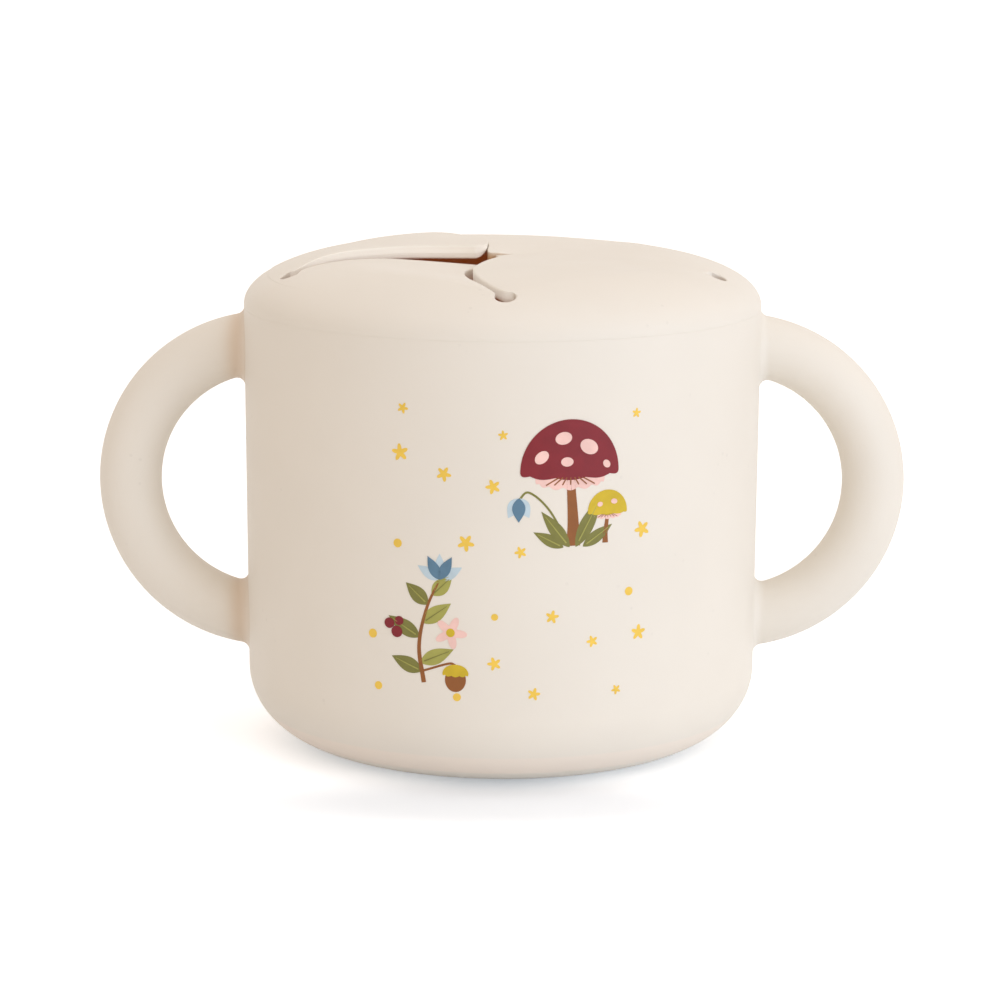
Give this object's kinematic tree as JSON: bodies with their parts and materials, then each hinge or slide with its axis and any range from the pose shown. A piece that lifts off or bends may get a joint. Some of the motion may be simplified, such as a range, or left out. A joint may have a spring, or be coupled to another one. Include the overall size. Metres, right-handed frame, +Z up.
{
  "type": "toddler snack cup",
  "caption": "Soft round cup with a ring handle on each side and a plug-in domed lid whose curved slits form hinged flaps for a small hand.",
  "frame": {"origin": "centre of the base, on the surface that the cup stands on", "axes": "+Z up along the cup's axis, +X towards the right handle, -Y towards the printed front"},
  "size_m": [0.1368, 0.087, 0.0842],
  "materials": {
    "cup_silicone": "matte cream silicone",
    "lid_silicone": "matte cream silicone"
  },
  "bodies": {
    "cup": {"cup": "cup_silicone", "handle_left": "cup_silicone", "handle_right": "cup_silicone"},
    "lid": {"lid_ring": "lid_silicone"},
    "flap_front_left": {"flap_front_left": "lid_silicone"},
    "flap_front_right": {"flap_front_right": "lid_silicone"},
    "flap_right": {"flap_right": "lid_silicone"},
    "flap_back": {"flap_back": "lid_silicone"},
    "flap_back_left": {"flap_back_left": "lid_silicone"}
  },
  "joints": [
    {"name": "lid_lift", "type": "slide", "parent": "cup", "child": "lid", "axis": [0, 0, 1], "range_m": [0, 0.04]},
    {"name": "front_left_flap_bend", "type": "hinge", "parent": "lid", "child": "flap_front_left", "pos_m": [-0.01769, -0.02435, 0.07977], "axis": [-0.809, 0.5878, 0], "range_deg": [-30, 65], "stiffness_Nm_per_rad": 0.007, "springref_deg": -1.72},
    {"name": "front_right_flap_bend", "type": "hinge", "parent": "lid", "child": "flap_front_right", "pos_m": [0.01769, -0.02435, 0.07977], "axis": [-0.809, -0.5878, 0], "range_deg": [-25, 70], "stiffness_Nm_per_rad": 0.007, "springref_deg": -1.72},
    {"name": "right_flap_bend", "type": "hinge", "parent": "lid", "child": "flap_right", "pos_m": [0.02862, 0.0093, 0.07977], "axis": [0.309, -0.9511, 0], "range_deg": [-25, 70], "stiffness_Nm_per_rad": 0.007, "springref_deg": -1.72},
    {"name": "back_flap_bend", "type": "hinge", "parent": "lid", "child": "flap_back", "pos_m": [0, 0.0301, 0.07977], "axis": [1, 0, 0], "range_deg": [-25, 70], "stiffness_Nm_per_rad": 0.007, "springref_deg": -1.72},
    {"name": "back_left_flap_bend", "type": "hinge", "parent": "lid", "child": "flap_back_left", "pos_m": [-0.02862, 0.0093, 0.07977], "axis": [0.309, 0.9511, 0], "range_deg": [-24, 71], "stiffness_Nm_per_rad": 0.007, "springref_deg": -1.72}
  ]
}
